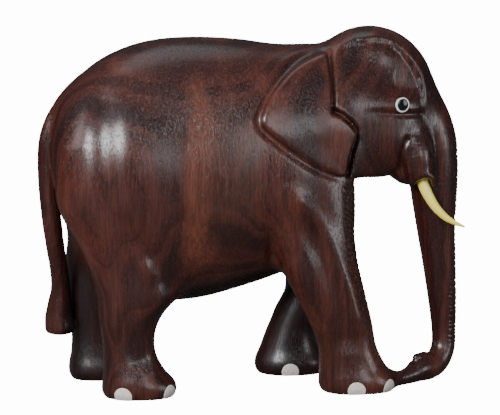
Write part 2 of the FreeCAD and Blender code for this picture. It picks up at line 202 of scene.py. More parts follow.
# Legs: height, middle along X, middle across, half-length, half-width. Soles are level and flat.
LEGS = {
    "front_right": [
        (0.0, 42.4, -20.0, 15.0, 12.9),
        (2.0, 42.5, -20.0, 15.9, 13.6),
        (5.0, 42.4, -20.0, 15.9, 13.6),
        (10.0, 40.6, -20.1, 14.0, 12.5),
        (17.0, 38.6, -20.3, 12.3, 11.7),
        (29.0, 35.2, -20.6, 13.1, 11.9),
        (42.0, 30.3, -20.6, 14.9, 12.5),
        (54.0, 26.0, -20.2, 16.4, 12.8),
        (67.0, 23.4, -19.4, 17.4, 12.7),
        (80.0, 22.0, -18.2, 17.6, 11.6),
        (98.0, 21.0, -16.0, 14.0, 8.0),
    ],
    "front_left": [
        (0.0, 20.2, 20.0, 14.8, 12.9),
        (2.0, 20.3, 20.0, 15.6, 13.6),
        (5.0, 20.2, 20.0, 15.5, 13.6),
        (10.0, 19.6, 20.1, 12.9, 12.2),
        (17.0, 20.0, 20.3, 10.7, 11.4),
        (27.0, 23.6, 20.6, 10.5, 11.6),
        (36.0, 28.2, 20.6, 11.6, 12.1),
        (50.0, 29.6, 20.2, 13.8, 12.7),
        (67.0, 26.2, 19.4, 15.4, 12.6),
        (80.0, 23.4, 18.2, 16.0, 11.6),
        (98.0, 21.0, 16.0, 14.0, 8.0),
    ],
    "hind_right": [
        (0.0, -48.6, -20.0, 14.4, 12.9),
        (2.0, -48.6, -20.0, 15.3, 13.6),
        (5.0, -48.7, -20.0, 15.2, 13.6),
        (10.0, -50.6, -20.0, 12.9, 12.5),
        (16.0, -52.2, -20.0, 11.2, 11.6),
        (24.0, -53.0, -20.0, 10.9, 11.5),
        (33.0, -52.2, -20.0, 13.0, 12.2),
        (41.0, -49.4, -19.8, 16.4, 13.0),
        (51.0, -48.8, -19.4, 18.8, 13.2),
        (63.0, -50.0, -18.6, 21.0, 13.0),
        (78.0, -54.2, -17.4, 24.6, 12.0),
        (98.0, -54.0, -15.0, 20.0, 9.0),
    ],
    "hind_left": [
        (0.0, -60.4, 20.0, 14.4, 12.9),
        (2.0, -60.5, 20.0, 15.2, 13.6),
        (5.0, -60.6, 20.0, 15.1, 13.6),
        (10.0, -62.2, 20.0, 12.6, 12.4),
        (16.0, -63.2, 20.0, 11.2, 11.6),
        (28.0, -63.4, 20.0, 12.2, 11.8),
        (40.0, -61.0, 19.8, 15.3, 12.6),
        (51.0, -58.0, 19.4, 18.6, 13.2),
        (63.0, -55.0, 18.6, 20.2, 13.0),
        (78.0, -54.0, 17.4, 20.8, 12.0),
        (98.0, -54.0, 15.0, 20.0, 9.0),
    ],
}


def leg(p, rows, square):
    x, y, z = p
    rows = np.array(rows)
    along, across, long, wide = (smooth_curve(z, rows[:, 0], rows[:, n]) for n in range(1, 5))
    form = oval(x - along, y - across, long, wide, square)
    return np.maximum(form, z - rows[-1, 0])


# The trunk hangs from the face, thins to the ankle's height, and sweeps back to rest on the right front toe.
TRUNK = [
    (62.0, 0.0, 126.0),
    (70.6, 0.0, 116.0),
    (75.6, 0.0, 104.0),
    (77.8, 0.0, 92.0),
    (78.6, 0.0, 79.0),
    (79.5, 0.0, 65.0),
    (81.2, 0.0, 49.0),
    (82.6, 0.0, 34.0),
    (83.4, 0.0, 21.0),
    (83.0, -0.8, 12.8),
    (80.0, -3.2, 7.4),
    (75.6, -6.6, 5.5),
    (71.2, -9.8, 5.3),
    (67.2, -12.8, 4.0),
    (62.4, -16.2, 3.3),
    (57.0, -19.2, 3.2),
]
TRUNK_WIDTHS = [10.0, 11.2, 11.6, 10.8, 9.8, 8.3, 7.1, 6.1, 5.2, 5.1, 5.2, 5.3, 5.1, 3.9, 3.2, 3.2]
TRUNK_LIP = [(77.4, -5.4, 9.4), (73.4, -8.2, 10.3), (69.4, -11.0, 10.6)]

TAIL = [
    (-69.0, 0.0, 125.6),
    (-75.4, 0.0, 120.0),
    (-80.6, 0.0, 113.0),
    (-83.6, 0.0, 104.5),
    (-84.4, 0.0, 95.0),
    (-84.2, 0.0, 84.0),
    (-83.2, 0.4, 72.0),
    (-81.9, 1.8, 61.0),
    (-80.3, 4.4, 50.0),
    (-79.4, 7.4, 41.0),
    (-79.7, 8.8, 34.0),
    (-80.1, 9.4, 28.0),
    (-79.8, 9.4, 23.0),
]
TAIL_WIDTHS = [4.6, 4.6, 4.5, 4.4, 4.3, 4.2, 4.2, 4.0, 3.9, 4.1, 5.2, 6.0, 6.4]

# Outline of an ear in the upright plane.
EAR = [
    (29.8, 139.0), (26.8, 139.6), (17.7, 135.6), (10.3, 129.6), (5.2, 123.4), (2.0, 117.7), (0.9, 113.8),
    (2.6, 110.3), (8.4, 105.3), (16.6, 99.2), (23.5, 95.0), (30.4, 91.8), (35.0, 90.9), (35.8, 92.6),
    (36.7, 98.2), (38.3, 103.0), (39.5, 106.8), (39.4, 108.8), (37.8, 111.0), (34.3, 114.6), (30.2, 117.2),
    (30.3, 122.4), (30.3, 127.4), (30.1, 133.0),
]
# The gap in front of it: shallow down its upper edge, then deep round its point and down to the jaw.
EAR_GAP = [
    (31.2, 117.0), (35.0, 115.2), (39.0, 111.8), (41.0, 108.8), (40.9, 105.2), (38.9, 99.0), (37.4, 91.0),
]
EAR_CREASE = [(31.4, 141.0), (31.5, 134.0), (31.5, 126.0), (31.2, 118.0)]
# Lower edge of the band the eye sits in, and the corner where the cheek meets the trunk.
EYE_BAND_EDGE = [(44.0, 116.4), (52.0, 115.6), (60.0, 114.7), (69.5, 114.3)]
CHEEK_CORNER = [(63.0, 104.0), (61.3, 100.0), (60.9, 94.6), (62.3, 89.4), (63.6, 85.0)]
# Rim of the planed side of the head, from the ear over the temple and down beside the trunk.
RIM = [
    (20.0, 136.0), (33.4, 138.6), (37.4, 141.6), (43.0, 144.0), (50.8, 144.9), (56.4, 144.2), (62.0, 140.2),
    (66.5, 134.6), (69.0, 129.4), (70.3, 122.0), (72.0, 113.9), (73.5, 105.6), (75.0, 100.0), (75.8, 93.0),
    (76.0, 84.0), (60.0, 70.0), (20.0, 70.0),
]
SHEATH = [(66.0, 7.6, 114.0), (67.2, 10.8, 105.0), (68.4, 12.9, 98.0), (69.4, 14.0, 91.8)]
SHEATH_WIDTHS = [3.6, 5.6, 6.6, 5.5]
SHEATH_LIP = [
    (66.4, 14.9, 84.6), (66.7, 16.4, 87.0), (68.7, 17.5, 88.9), (71.6, 17.9, 89.3), (74.2, 17.2, 87.8),
    (75.2, 15.8, 84.6),
]


def planed(x, z):
    """How far the planed side of the head is sunk: deepest along its rim, most of all under the crown."""
    inward = -outline(x, z, RIM, rounded=False)
    high = np.clip((z - 117.0) / 8.0, 0, 1)
    edge = np.clip(0.5 + inward / 4.4, 0, 1)
    edge = edge * edge * (3 - 2 * edge)
    sunk = (0.5 + 1.7 * high) * edge * np.exp(-((np.clip(inward, 0, None) / (7.0 + 10.0 * high)) ** 1.5))
    return sunk * np.clip((x - 33.0) / 4.0, 0, 1) * np.clip((z - 88.0) / 5.0, 0, 1)


def head(p):
    """Skull with planed temples, the band the eye sits in, cheeks, jaw and lip. Both sides are alike."""
    x, y, z = p
    a = np.abs(y)
    both = (x, a, z)
    skull = ovoid(p, (50.0, 0.0, 120.0), (28.2, 21.6, 30.3))
    face = ovoid(p, (53.0, 0.0, 104.5), (22.0, 19.4, 18.5))
    form = join(skull, face, 7.0)
    plane = (a - 18.8 + 0.20 * (z - 130.0) + 0.22 * (x - 50.0)) / 1.05
    form = meet(form, plane, 2.0)
    form = cut(form, ovoid(both, (44.5, 21.8, 136.0), (11.0, 7.0, 9.0)), 4.0)
    form = cut(form, ovoid(both, (60.0, 19.4, 131.0), (9.0, 3.4, 7.5)), 4.0)
    form = join(form, ovoid(both, (57.0, 13.2, 119.0), (13.5, 6.2, 5.6), turn=-13.0), 3.5)
    form = join(form, ovoid(both, (52.0, 12.5, 101.0), (13.0, 7.4, 11.0)), 4.0)
    form = meet(form, 88.5 - z, 2.6)
    near = (x > 30) & (z > 86)
    sunk = only_at(near, lambda x, y, z: planed(x, z), p, 0.0)
    form = form + sunk * np.clip((a - 5.0) / 4.0, 0, 1)
    return join(form, rod(p, [(65.2, -9.5, 90.8), (65.2, 9.5, 90.8)], [6.7, 6.7], steps=1), 3.0)


def ear_face(x, z):
    """How far out an ear's face stands: upright below, leaning in to the neck above, flared at its edge."""
    lean = np.clip(z - 106.0, 0, None)
    return 31.4 - 0.0125 * lean**2 + 0.07 * (30.0 - x)


# Soft folds and hollows: a line in the upright plane, its width and its depth.
FOLDS = [
    # between the rump's two faces, running down the back of the thigh
    ([(-59.0, 134.0), (-61.6, 124.0), (-62.6, 113.0), (-62.6, 101.0), (-62.0, 89.0), (-60.8, 79.0),
      (-57.0, 70.0), (-53.6, 58.0), (-52.6, 47.0), (-53.0, 34.0), (-52.1, 21.0), (-48.0, 10.0)], 4.8, 1.5),
    # in front of the thigh
    ([(-52.0, 70.0), (-46.0, 62.4), (-40.2, 52.6), (-36.4, 46.0), (-33.5, 40.6)], 3.6, 1.1),
    # behind the elbow
    ([(3.4, 77.0), (5.6, 66.0), (6.6, 58.8), (8.4, 51.0)], 2.6, 1.9),
    # down the outside of the foreleg
    ([(14.4, 79.0), (21.1, 67.2), (26.8, 55.8), (31.5, 43.2), (35.7, 27.5), (36.2, 17.0)], 4.6, 1.6),
]
RIDGES = [
    ([(9.6, 88.0), (20.5, 76.5), (29.4, 62.4), (36.8, 43.6), (41.6, 24.0)], 3.6, 1.3),
    ([(-48.4, 60.0), (-44.4, 54.0), (-40.8, 48.0)], 3.4, 1.2),
]


def folded(x, y, z):
    """How much the folds sink the surface of the flanks and legs. The left feet stand further back."""
    step = np.where(x < -20, 12.0, 22.0) * np.clip((72.0 - z) / 60.0, 0, 1)
    x = x + np.where(y > 0, step, 0.0)
    sunk = np.zeros(x.shape)
    for line, width, depth in FOLDS:
        far, along, length = along_line(x, z, line)
        ends = np.clip(along / 12.0, 0, 1) * np.clip((length - along) / 6.0, 0, 1)
        sunk += depth * ends * np.exp(-((far / width) ** 2))
    for line, width, rise in RIDGES:
        far, along, length = along_line(x, z, line)
        ends = np.clip(along / 10.0, 0, 1) * np.clip((length - along) / 8.0, 0, 1)
        sunk -= rise * ends * np.exp(-((far / width) ** 2))
    return sunk * np.clip((np.abs(y) - 14.0) / 8.0, 0, 1)


def block(p):
    """The whole carved block."""
    x, y, z = p
    a = np.abs(y)
    both = (x, a, z)
    # Shoulder blade and haunch stand out a little. The chest is cut off upright below the jaw.
    form = barrel(p)
    form = join(form, ovoid(both, (19.0, 18.6, 84.0), (17.0, 12.6, 27.0), lean=12.0), 9.0)
    form = join(form, ovoid(both, (-54.0, 16.8, 89.0), (23.0, 15.2, 29.0)), 11.0)
    form = meet(form, np.minimum(x - 40.4, 88.5 - z), 3.0)
    for name, rows in LEGS.items():
        square = 3.0 if name == "hind_left" else 2.3
        form = join(form, leg(p, rows, square), 6.0 if name.startswith("front") else 9.0)
    form = form + only_at((a > 14) & (z < 136), folded, p, 0.0)
    skin = join(form, head(p), 4.0)
    skin = join(skin, rod(p, TRUNK, TRUNK_WIDTHS), 4.0)
    skin = join(skin, rod(p, TRUNK_LIP, [1.9, 2.2, 1.7], steps=2), 0.9)
    skin = join(skin, rod(both, SHEATH, SHEATH_WIDTHS), 3.2)
    skin = join(skin, rod(both, SHEATH_LIP, [0.7, 1.1, 1.3, 1.3, 1.2, 0.8], steps=2), 1.5)
    # The ear stands off the neck with an undercut edge, rounded behind and below, crisp in front.
    near = (x > -6) & (x < 48) & (z > 84)
    edge = only_at(near, lambda x, y, z: outline(x, z, EAR), p, 20.0)
    behind = np.clip((37.0 - x) / 9.0, 0, 1)
    skin = skin + 0.8 * behind * np.exp(-(((edge - 1.2) / 1.6) ** 2)) * np.clip((a - 6.0) / 6.0, 0, 1)
    dish = 0.35 * np.exp(-(((edge + 10.0) / 6.0) ** 2))
    flap = meet(edge, a - ear_face(x, z) + dish, 0.9 + 1.1 * behind)
    flap = np.maximum(flap, ear_face(x, z) - 9.0 - a)
    skin = join(skin, flap, 0.5)

    def gaps(x, y, z):
        deep, _, _ = along_line(x, z, EAR_GAP)
        crease, _, _ = along_line(x, z, EAR_CREASE)
        lower, along, _ = along_line(x, z, EYE_BAND_EDGE)
        corner, _, _ = along_line(x, z, CHEEK_CORNER)
        sunk = 2.6 * np.exp(-((deep / 0.95) ** 2)) + 0.9 * np.exp(-((crease / 1.1) ** 2))
        sunk += 0.9 * np.exp(-((corner / 1.2) ** 2))
        sunk += 0.8 * np.clip(along / 18.0, 0, 1) * np.exp(-((lower / 1.3) ** 2))
        return sunk * np.clip((np.abs(y) - 8.0) / 3.0, 0, 1)

    skin = skin + only_at((x > 28) & (z > 84) & (a > 8), gaps, p, 0.0)
    # Tail, with its tuft joined to the left hind leg.
    tail = rod(p, TAIL, TAIL_WIDTHS, power=1.55)
    tail = meet(tail, 20.6 - z, 1.6)
    skin = join(skin, tail, 0.35 + 3.0 * np.clip((z - 100.0) / 12.0, 0, 1))
    return np.maximum(skin, -z)


# Rows of short cuts left by the V-gouge: a line in the upright plane, the cuts' reach either side of it, how
# far apart they are, how deep, and which part of the block they are cut in.
HATCHING = {
    "belly": ([(-35.0, 38.6), (-22.0, 40.4), (-8.0, 43.6), (10.0, 49.2)], 4.2, 2.05, 0.55),
    "chest": (
        [(38.0, 88.0), (38.4, 78.0), (38.8, 66.0), (40.6, 54.0), (43.4, 42.0), (46.4, 32.0)], 3.0, 2.2, 0.6,
    ),
    "trunk": ([(88.6, 100.0), (88.3, 70.0), (88.4, 48.0), (88.8, 30.0), (88.2, 14.0)], 3.6, 2.1, 0.5),
}


def hatch_zone(name, p):
    """Where a row of cuts lies: one inside it and nought outside, and the place along the row."""
    x, y, z = p
    line, reach, pitch, depth = HATCHING[name]
    far, along, length = along_line(x, z, line)
    ends = np.clip(along / 3.0, 0, 1) * np.clip((length - along) / 3.0, 0, 1)
    zone = np.exp(-((far / reach) ** 4)) * ends
    if name == "belly":
        zone = zone * np.clip((np.abs(y) - 8.0) / 4.0, 0, 1)
    elif name == "chest":
        zone = zone * np.clip((-y - 8.0) / 4.0, 0, 1)
    else:
        zone = zone * np.clip((7.5 - np.abs(y)) / 2.0, 0, 1)
    return zone, along


def hatched(p):
    """The block with its gouge cuts: short notches that lean a little and are not quite evenly spaced."""
    x, y, z = p
    form = block(p)
    for name, (line, reach, pitch, depth) in HATCHING.items():
        zone, along = hatch_zone(name, p)
        wander = 0.35 * np.sin(along * 0.9) + 0.22 * np.sin(along * 2.3 + 1.0)
        lean = {"belly": 0.85 * (z - 40.0), "chest": -0.9 * (x - 38.0), "trunk": 0.2 * np.abs(y)}[name]
        turn = 2 * np.pi * (along + wander + lean) / pitch
        form = form + depth * zone * (0.5 + 0.5 * np.cos(turn)) ** 3
    return form


def lattice(field, low, high, step):
    """Samples a field on a lattice, in full only near its zero."""
    coarse = 3.0
    axes = [np.arange(l, h + coarse, coarse) for l, h in zip(low, high)]
    rough = field(np.meshgrid(*axes, indexing="ij"))
    fine = [np.arange(l, h + step / 2, step) for l, h in zip(low, high)]
    counts = tuple(len(f) for f in fine)
    near = rough
    for n, f in enumerate(fine):
        at = np.clip((f - low[n]) / coarse, 0, rough.shape[n] - 1.001)
        i = at.astype(int)
        w = (at - i).reshape([-1 if k == n else 1 for k in range(3)])
        near = np.take(near, i, axis=n) * (1 - w) + np.take(near, i + 1, axis=n) * w
    grid = np.clip(near, -4, 4)
    close = np.nonzero(np.abs(near) < 3.6)
    grid[close] = field([f[i] for f, i in zip(fine, close)])
    return grid.reshape(counts)


def gradient(field, points):
    h = 0.05
    steps = []
    for n in range(3):
        ahead, behind = points.copy(), points.copy()
        ahead[:, n] += h
        behind[:, n] -= h
        steps.append((field(ahead.T) - field(behind.T)) / (2 * h))
    return np.stack(steps, axis=1)


def settle(field, points, rounds=2, reach=0.6):
    """Moves points on to the field's zero."""
    points = points.copy()
    for _ in range(rounds):
        slope = gradient(field, points)
        value = field(points.T)
        step = (value / np.maximum((slope**2).sum(1), 0.05))[:, None] * slope
        size = np.linalg.norm(step, axis=1, keepdims=True)
        points -= step * np.minimum(1, reach / np.maximum(size, 1e-9))
    return points


def skin_of(name, field, low, high, step):
    """A closed mesh of quads over a field."""
    low = np.asarray(low, float)
    grid = openvdb.FloatGrid(4.0)
    grid.copyFromArray(lattice(field, low, high, step).astype(np.float32))
    points, quads = grid.convertToQuads(0.0)
    points = settle(field, points * step + low)
    mesh = bpy.data.meshes.new(name)
    mesh.from_pydata((points * MM).tolist(), [], quads[:, ::-1].tolist())
    mesh.update()
    mesh.polygons.foreach_set("use_smooth", np.ones(len(mesh.polygons), bool))
    return mesh


def finer(mesh, chosen, times):
    """Splits the chosen faces of a mesh into smaller ones."""
    work = bmesh.new()
    work.from_mesh(mesh)
    for _ in range(times):
        middles = np.array([f.calc_center_median() for f in work.faces]) / MM
        picked = chosen(middles.T)
        edges = {e for f, pick in zip(work.faces, picked) if pick for e in f.edges}
        bmesh.ops.subdivide_edges(work, edges=list(edges), cuts=1, use_grid_fill=True)
    work.to_mesh(mesh)
    work.free()


def in_hatching(p):
    return np.max([hatch_zone(name, p)[0] for name in HATCHING], axis=0) > 0.25


def in_detail(p):
    """The head and the ear's outline, where edges are crisp."""
    x, y, z = p
    ear = np.abs(outline(x, z, EAR)) < 4.5
    return (z > 82) & (x > -5) & (np.abs(y) > 7) & (ear | (x > 34)) & (x < 80)


BODY_STEP = 1.1
BODY_MARGIN = 4.0
body_mesh = skin_of(
    "carved_body_skin", block, block_low - BODY_MARGIN, block_high + BODY_MARGIN, BODY_STEP
)
finer(body_mesh, in_detail, 1)
finer(body_mesh, in_hatching, 2)
corners = np.array([v.co for v in body_mesh.vertices]) / MM
corners = settle(hatched, corners, rounds=2)
body_mesh.vertices.foreach_set("co", (corners * MM).ravel())
body_mesh.polygons.foreach_set("use_smooth", np.ones(len(body_mesh.polygons), bool))
body_mesh.update()


def node(tree, kind, inputs=(), **settings):
    """Adds a shader node, with sockets set from values or linked from other sockets."""
    made = tree.nodes.new(kind)
    for name, value in settings.items():
        setattr(made, name, value)
    for key, value in dict(inputs).items():
        if isinstance(value, bpy.types.NodeSocket):
            tree.links.new(value, made.inputs[key])
        else:
            made.inputs[key].default_value = value
    return made


def number(tree, operation, a, b=0.0, clamp=False):
    return node(tree, "ShaderNodeMath", {0: a, 1: b}, operation=operation, use_clamp=clamp).outputs[0]


def vector(tree, operation, a, b):
    return node(tree, "ShaderNodeVectorMath", {0: a, 1: b}, operation=operation).outputs[0]


def tint(tree, factor, a, b, mode="MIX"):
    """Mixes two colours."""
    mix = node(tree, "ShaderNodeMix", {0: factor, 6: a, 7: b}, data_type="RGBA", blend_type=mode)
    return mix.outputs[2]


def spread(tree, value, low, high):
    """Stretches the range low to high over nought to one."""
    inputs = {"Value": value, "From Min": low, "From Max": high}
    return node(tree, "ShaderNodeMapRange", inputs, interpolation_type="SMOOTHSTEP").outputs[0]


def millimetres(tree, scale=(1.0, 1.0, 1.0)):
    """Places on the piece itself, in millimetres, stretched by the scale."""
    place = node(tree, "ShaderNodeTexCoord").outputs["Object"]
    return vector(tree, "MULTIPLY", place, tuple(s / MM for s in scale))


def noise(tree, vector, scale, detail=2.0, roughness=0.5, **more):
    inputs = {"Vector": vector, "Scale": scale, "Detail": detail, "Roughness": roughness, **more}
    return node(tree, "ShaderNodeTexNoise", inputs)


def effect(name, outputs):
    """A new node group with the given outputs."""
    tree = bpy.data.node_groups.new(name, "ShaderNodeTree")
    for label, kind in outputs.items():
        tree.interface.new_socket(label, in_out="OUTPUT", socket_type="NodeSocket" + kind)
    return tree, tree.nodes.new("NodeGroupOutput")


def material(name, tree_values):
    """A material with one Principled shader, its constants set on the shader's own sockets."""
    look = bpy.data.materials.new(name)
    look.use_nodes = True
    shader = look.node_tree.nodes["Principled BSDF"]
    for key, value in tree_values.items():
        shader.inputs[key].default_value = value
    return look, look.node_tree, shader


def use(tree, group):
    return node(tree, "ShaderNodeGroup", node_tree=group).outputs


# Rosewood grown upright: layers round a heart far off to the left side, streaks and open pores along Z.
EARLY_LAYER = (0.032, 0.0078, 0.0056, 1)
LATE_LAYER = (0.072, 0.0180, 0.0126, 1)
DARK_BAND = (0.019, 0.0056, 0.0048, 1)
WARM_PATCH = (0.112, 0.0310, 0.0180, 1)
GOLDEN_PATCH = (0.115, 0.0480, 0.0270, 1)
HEARTWOOD = (0.022, 0.0058, 0.0045, 1)
OPEN_PORE = (0.006, 0.0028, 0.0026, 1)
# painted shade for the inner faces of the legs under the belly
PAINTED_SHADE_UNDER_BELLY = (0.006, 0.0020, 0.0017, 1)
WORN_EDGE = (0.16, 0.062, 0.042, 1)
# painted shade for hollows and creases
PAINTED_SHADE_IN_HOLLOWS = (0.005, 0.0025, 0.002, 1)
STREAK_TONES = ((0.66, 0.62, 0.62, 1), (1.08, 1.06, 1.04, 1))
HEART_PLACE = (24.0, -58.0, 0.0)
LAYER_DRIFT = (11.0, 11.0, 11.0)

grain, out = effect("rosewood_grain", {"Colour": "Color", "Roughness": "Float", "Height": "Float"})
place = millimetres(grain)
drift = noise(grain, place, 0.022, 2.0).outputs["Color"]
bent = vector(grain, "ADD", place, vector(grain, "MULTIPLY", drift, LAYER_DRIFT))
bent = vector(grain, "MULTIPLY", vector(grain, "ADD", bent, HEART_PLACE), (1.0, 1.0, 0.10))
radius = node(grain, "ShaderNodeVectorMath", {0: bent}, operation="LENGTH").outputs["Value"]


def growth(scale, detail, roughness):
    """Uneven layers, counted outwards from the heart."""
    inputs = {"W": radius, "Scale": scale, "Detail": detail, "Roughness": roughness}
    return node(grain, "ShaderNodeTexNoise", inputs, noise_dimensions="1D").outputs["Fac"]


layers = growth(0.42, 3.0, 0.62)
bands = growth(0.085, 1.0, 0.5)
streaks = noise(grain, millimetres(grain, (1.1, 1.1, 0.075)), 1.0, 4.0, 0.65).outputs["Fac"]
patches = noise(grain, millimetres(grain, (1.0, 1.0, 0.20)), 0.055, 3.0, 0.55).outputs["Fac"]
pores = noise(grain, millimetres(grain, (3.4, 3.4, 0.30)), 1.0, 1.0, 0.5).outputs["Fac"]
pores = spread(grain, pores, 0.56, 0.70)
fine = noise(grain, millimetres(grain, (5.0, 5.0, 0.5)), 1.0, 1.0, 0.5).outputs["Fac"]
where = node(grain, "ShaderNodeSeparateXYZ", {0: place}).outputs
across = number(grain, "ABSOLUTE", where["Y"])

# One dark upright streak of heartwood high on the flank, and a golden one in front of it, both ragged.
wander = number(grain, "MULTIPLY", number(grain, "SUBTRACT", patches, 0.5), 30.0)
wander = number(grain, "ADD", where["X"], wander)
heart = spread(grain, number(grain, "ABSOLUTE", number(grain, "ADD", wander, 33.0)), 13.0, 5.0)
heart = number(grain, "MULTIPLY", heart, spread(grain, where["Z"], 84.0, 106.0))
golden = spread(grain, number(grain, "ABSOLUTE", number(grain, "ADD", wander, 12.0)), 14.0, 4.0)
golden = number(grain, "MULTIPLY", golden, spread(grain, where["Z"], 126.0, 104.0))
golden = number(grain, "MULTIPLY", golden, spread(grain, where["Z"], 58.0, 90.0))
# Inner faces of the legs and the belly between them: painted shade, darker in colour, and duller.
inside = number(grain, "MULTIPLY", spread(grain, across, 22.5, 16.0), spread(grain, where["Z"], 64.0, 44.0))
inside = number(grain, "MULTIPLY", inside, spread(grain, where["X"], 62.0, 56.0))
inside = number(grain, "MULTIPLY", inside, spread(grain, where["X"], -77.5, -74.0))

streak_tone = tint(grain, spread(grain, streaks, 0.32, 0.66), *STREAK_TONES)
colour = tint(grain, spread(grain, layers, 0.30, 0.70), EARLY_LAYER, LATE_LAYER)
colour = tint(grain, spread(grain, bands, 0.36, 0.60), DARK_BAND, colour)
colour = tint(grain, spread(grain, patches, 0.46, 0.74), colour, WARM_PATCH)
colour = tint(grain, number(grain, "MULTIPLY", golden, 0.22), colour, GOLDEN_PATCH)
colour = tint(grain, number(grain, "MULTIPLY", heart, 0.70), colour, HEARTWOOD)
colour = tint(grain, 1.0, colour, streak_tone, "MULTIPLY")
colour = tint(grain, number(grain, "MULTIPLY", pores, 0.75), colour, OPEN_PORE)
# painted shade on the inner faces of the legs under the belly
colour = tint(grain, number(grain, "MULTIPLY", inside, 0.75), colour, PAINTED_SHADE_UNDER_BELLY)
rough = number(grain, "ADD", number(grain, "MULTIPLY", streaks, 0.16), 0.18)
rough = number(grain, "ADD", rough, number(grain, "MULTIPLY", pores, 0.16))
rough = number(grain, "ADD", rough, number(grain, "MULTIPLY", inside, 0.08))
height = number(grain, "ADD", number(grain, "MULTIPLY", pores, -0.8), number(grain, "MULTIPLY", fine, 0.25))
height = number(grain, "ADD", height, number(grain, "MULTIPLY", streaks, 0.5))
grain.links.new(colour, out.inputs["Colour"])
grain.links.new(rough, out.inputs["Roughness"])
grain.links.new(height, out.inputs["Height"])

WAX = {"Specular IOR Level": 0.5, "Coat Weight": 0.15, "Coat Roughness": 0.25}
rosewood, tree, shader = material("rosewood", WAX)
wood = use(tree, grain)
worn = spread(tree, node(tree, "ShaderNodeNewGeometry").outputs["Pointiness"], 0.53, 0.62)
colour = tint(tree, number(tree, "MULTIPLY", worn, 0.35), wood["Colour"], WORN_EDGE)
# Painted shade: hollows and creases are darkened nearly to black.
sunk = spread(tree, node(tree, "ShaderNodeNewGeometry").outputs["Pointiness"], 0.47, 0.38)
colour = tint(tree, number(tree, "MULTIPLY", sunk, 0.85), colour, PAINTED_SHADE_IN_HOLLOWS)
tree.links.new(colour, shader.inputs["Base Color"])
tree.links.new(wood["Roughness"], shader.inputs["Roughness"])
bump = node(tree, "ShaderNodeBump", {"Height": wood["Height"], "Strength": 0.5, "Distance": 0.00018})
tree.links.new(bump.outputs["Normal"], shader.inputs["Normal"])


def place_piece(name, mesh, looks, replaced):
    mesh.materials.append(looks)
    piece = bpy.data.objects.new(name, mesh)
    bpy.context.scene.collection.objects.link(piece)
    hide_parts(replaced)
    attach(piece, "root")


place_piece("carved_body_skin", body_mesh, rosewood, "carved_body")

# ---------------------------------------------------------------------------------------------------------
# Tusks. Turned and bent ivory-coloured resin, tapering to a blunt point. A straight peg is glued into a hole
# drilled up the sheath, so only the horn shows.

TUSK_PATH = [  # shares of the tusk's own box: along X, outwards, up
    (0.06, 0.12, 0.985), (0.15, 0.20, 0.84), (0.215, 0.27, 0.72), (0.31, 0.38, 0.53), (0.44, 0.52, 0.345),
    (0.61, 0.66, 0.19), (0.79, 0.80, 0.095), (0.955, 0.91, 0.035),
]
TUSK_WIDTHS = [2.45, 2.45, 2.4, 2.2, 1.9, 1.5, 1.0, 0.5]

streaked, out = effect("tusk_streaks", {"Colour": "Color", "Roughness": "Float", "Height": "Float"})
lines = noise(streaked, millimetres(streaked, (1.6, 3.0, 0.5)), 1.0, 3.0, 0.6).outputs["Fac"]
cloud = noise(streaked, millimetres(streaked), 0.22, 2.0).outputs["Fac"]
colour = tint(streaked, spread(streaked, lines, 0.3, 0.7), (0.96, 0.72, 0.075, 1), (1.0, 0.84, 0.13, 1))
colour = tint(streaked, spread(streaked, cloud, 0.40, 0.75), colour, (1.0, 0.87, 0.22, 1))
grime = spread(streaked, noise(streaked, millimetres(streaked), 0.9, 3.0, 0.7).outputs["Fac"], 0.60, 0.78)
colour = tint(streaked, number(streaked, "MULTIPLY", grime, 0.35), colour, (0.34, 0.23, 0.08, 1))
streaked.links.new(colour, out.inputs["Colour"])
rough = number(streaked, "ADD", number(streaked, "MULTIPLY", lines, 0.2), 0.2)
streaked.links.new(rough, out.inputs["Roughness"])
streaked.links.new(lines, out.inputs["Height"])

POLISH = {"Specular IOR Level": 0.5, "Coat Weight": 0.2, "Coat Roughness": 0.12}
ivory, tree, shader = material("tusk_ivory", POLISH)
tusk_look = use(tree, streaked)
tree.links.new(tusk_look["Colour"], shader.inputs["Base Color"])
tree.links.new(tusk_look["Roughness"], shader.inputs["Roughness"])
bump = node(tree, "ShaderNodeBump", {"Height": tusk_look["Height"], "Strength": 0.2, "Distance": 0.0001})
tree.links.new(bump.outputs["Normal"], shader.inputs["Normal"])

SIDES = {"right": -1, "left": 1}
for name, side in SIDES.items():
    low, high = (np.array(corner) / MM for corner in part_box(f"{name}_tusk"))
    near, far = (high[1], low[1]) if side < 0 else (low[1], high[1])
    length, height = high[0] - low[0], high[2] - low[2]
    path = [(low[0] + a * length, near + b * (far - near), low[2] + c * height) for a, b, c in TUSK_PATH]

    def tusk(p):
        return rod(p, path, TUSK_WIDTHS, steps=4)

    mesh = skin_of(f"{name}_tusk_horn", tusk, low - 1.5, high + 1.5, 0.36)
    place_piece(f"{name}_tusk_horn", mesh, ivory, f"{name}_tusk")

# ---------------------------------------------------------------------------------------------------------
# Eyes. A white ring is let into the head and rounded over; a black glass-like bead is glued into it, its rim
# lapping the ring's inner edge.

EYE_TURN = 16.0
EYE_PROUD = 0.35
RING = [  # radius, and height out of the seat
    (2.3, -1.8), (2.3, 0.10), (2.5, 0.20), (2.8, 0.24), (3.0, 0.18), (3.1, 0.02), (3.12, -0.25),
    (3.12, -1.8),
]
BEAD = [
    (0.0, 0.54), (0.7, 0.52), (1.3, 0.47), (1.9, 0.38), (2.3, 0.29), (2.52, 0.2), (2.58, 0.08), (2.56, -0.1),
    (2.56, -1.6), (0.0, -1.6),
]


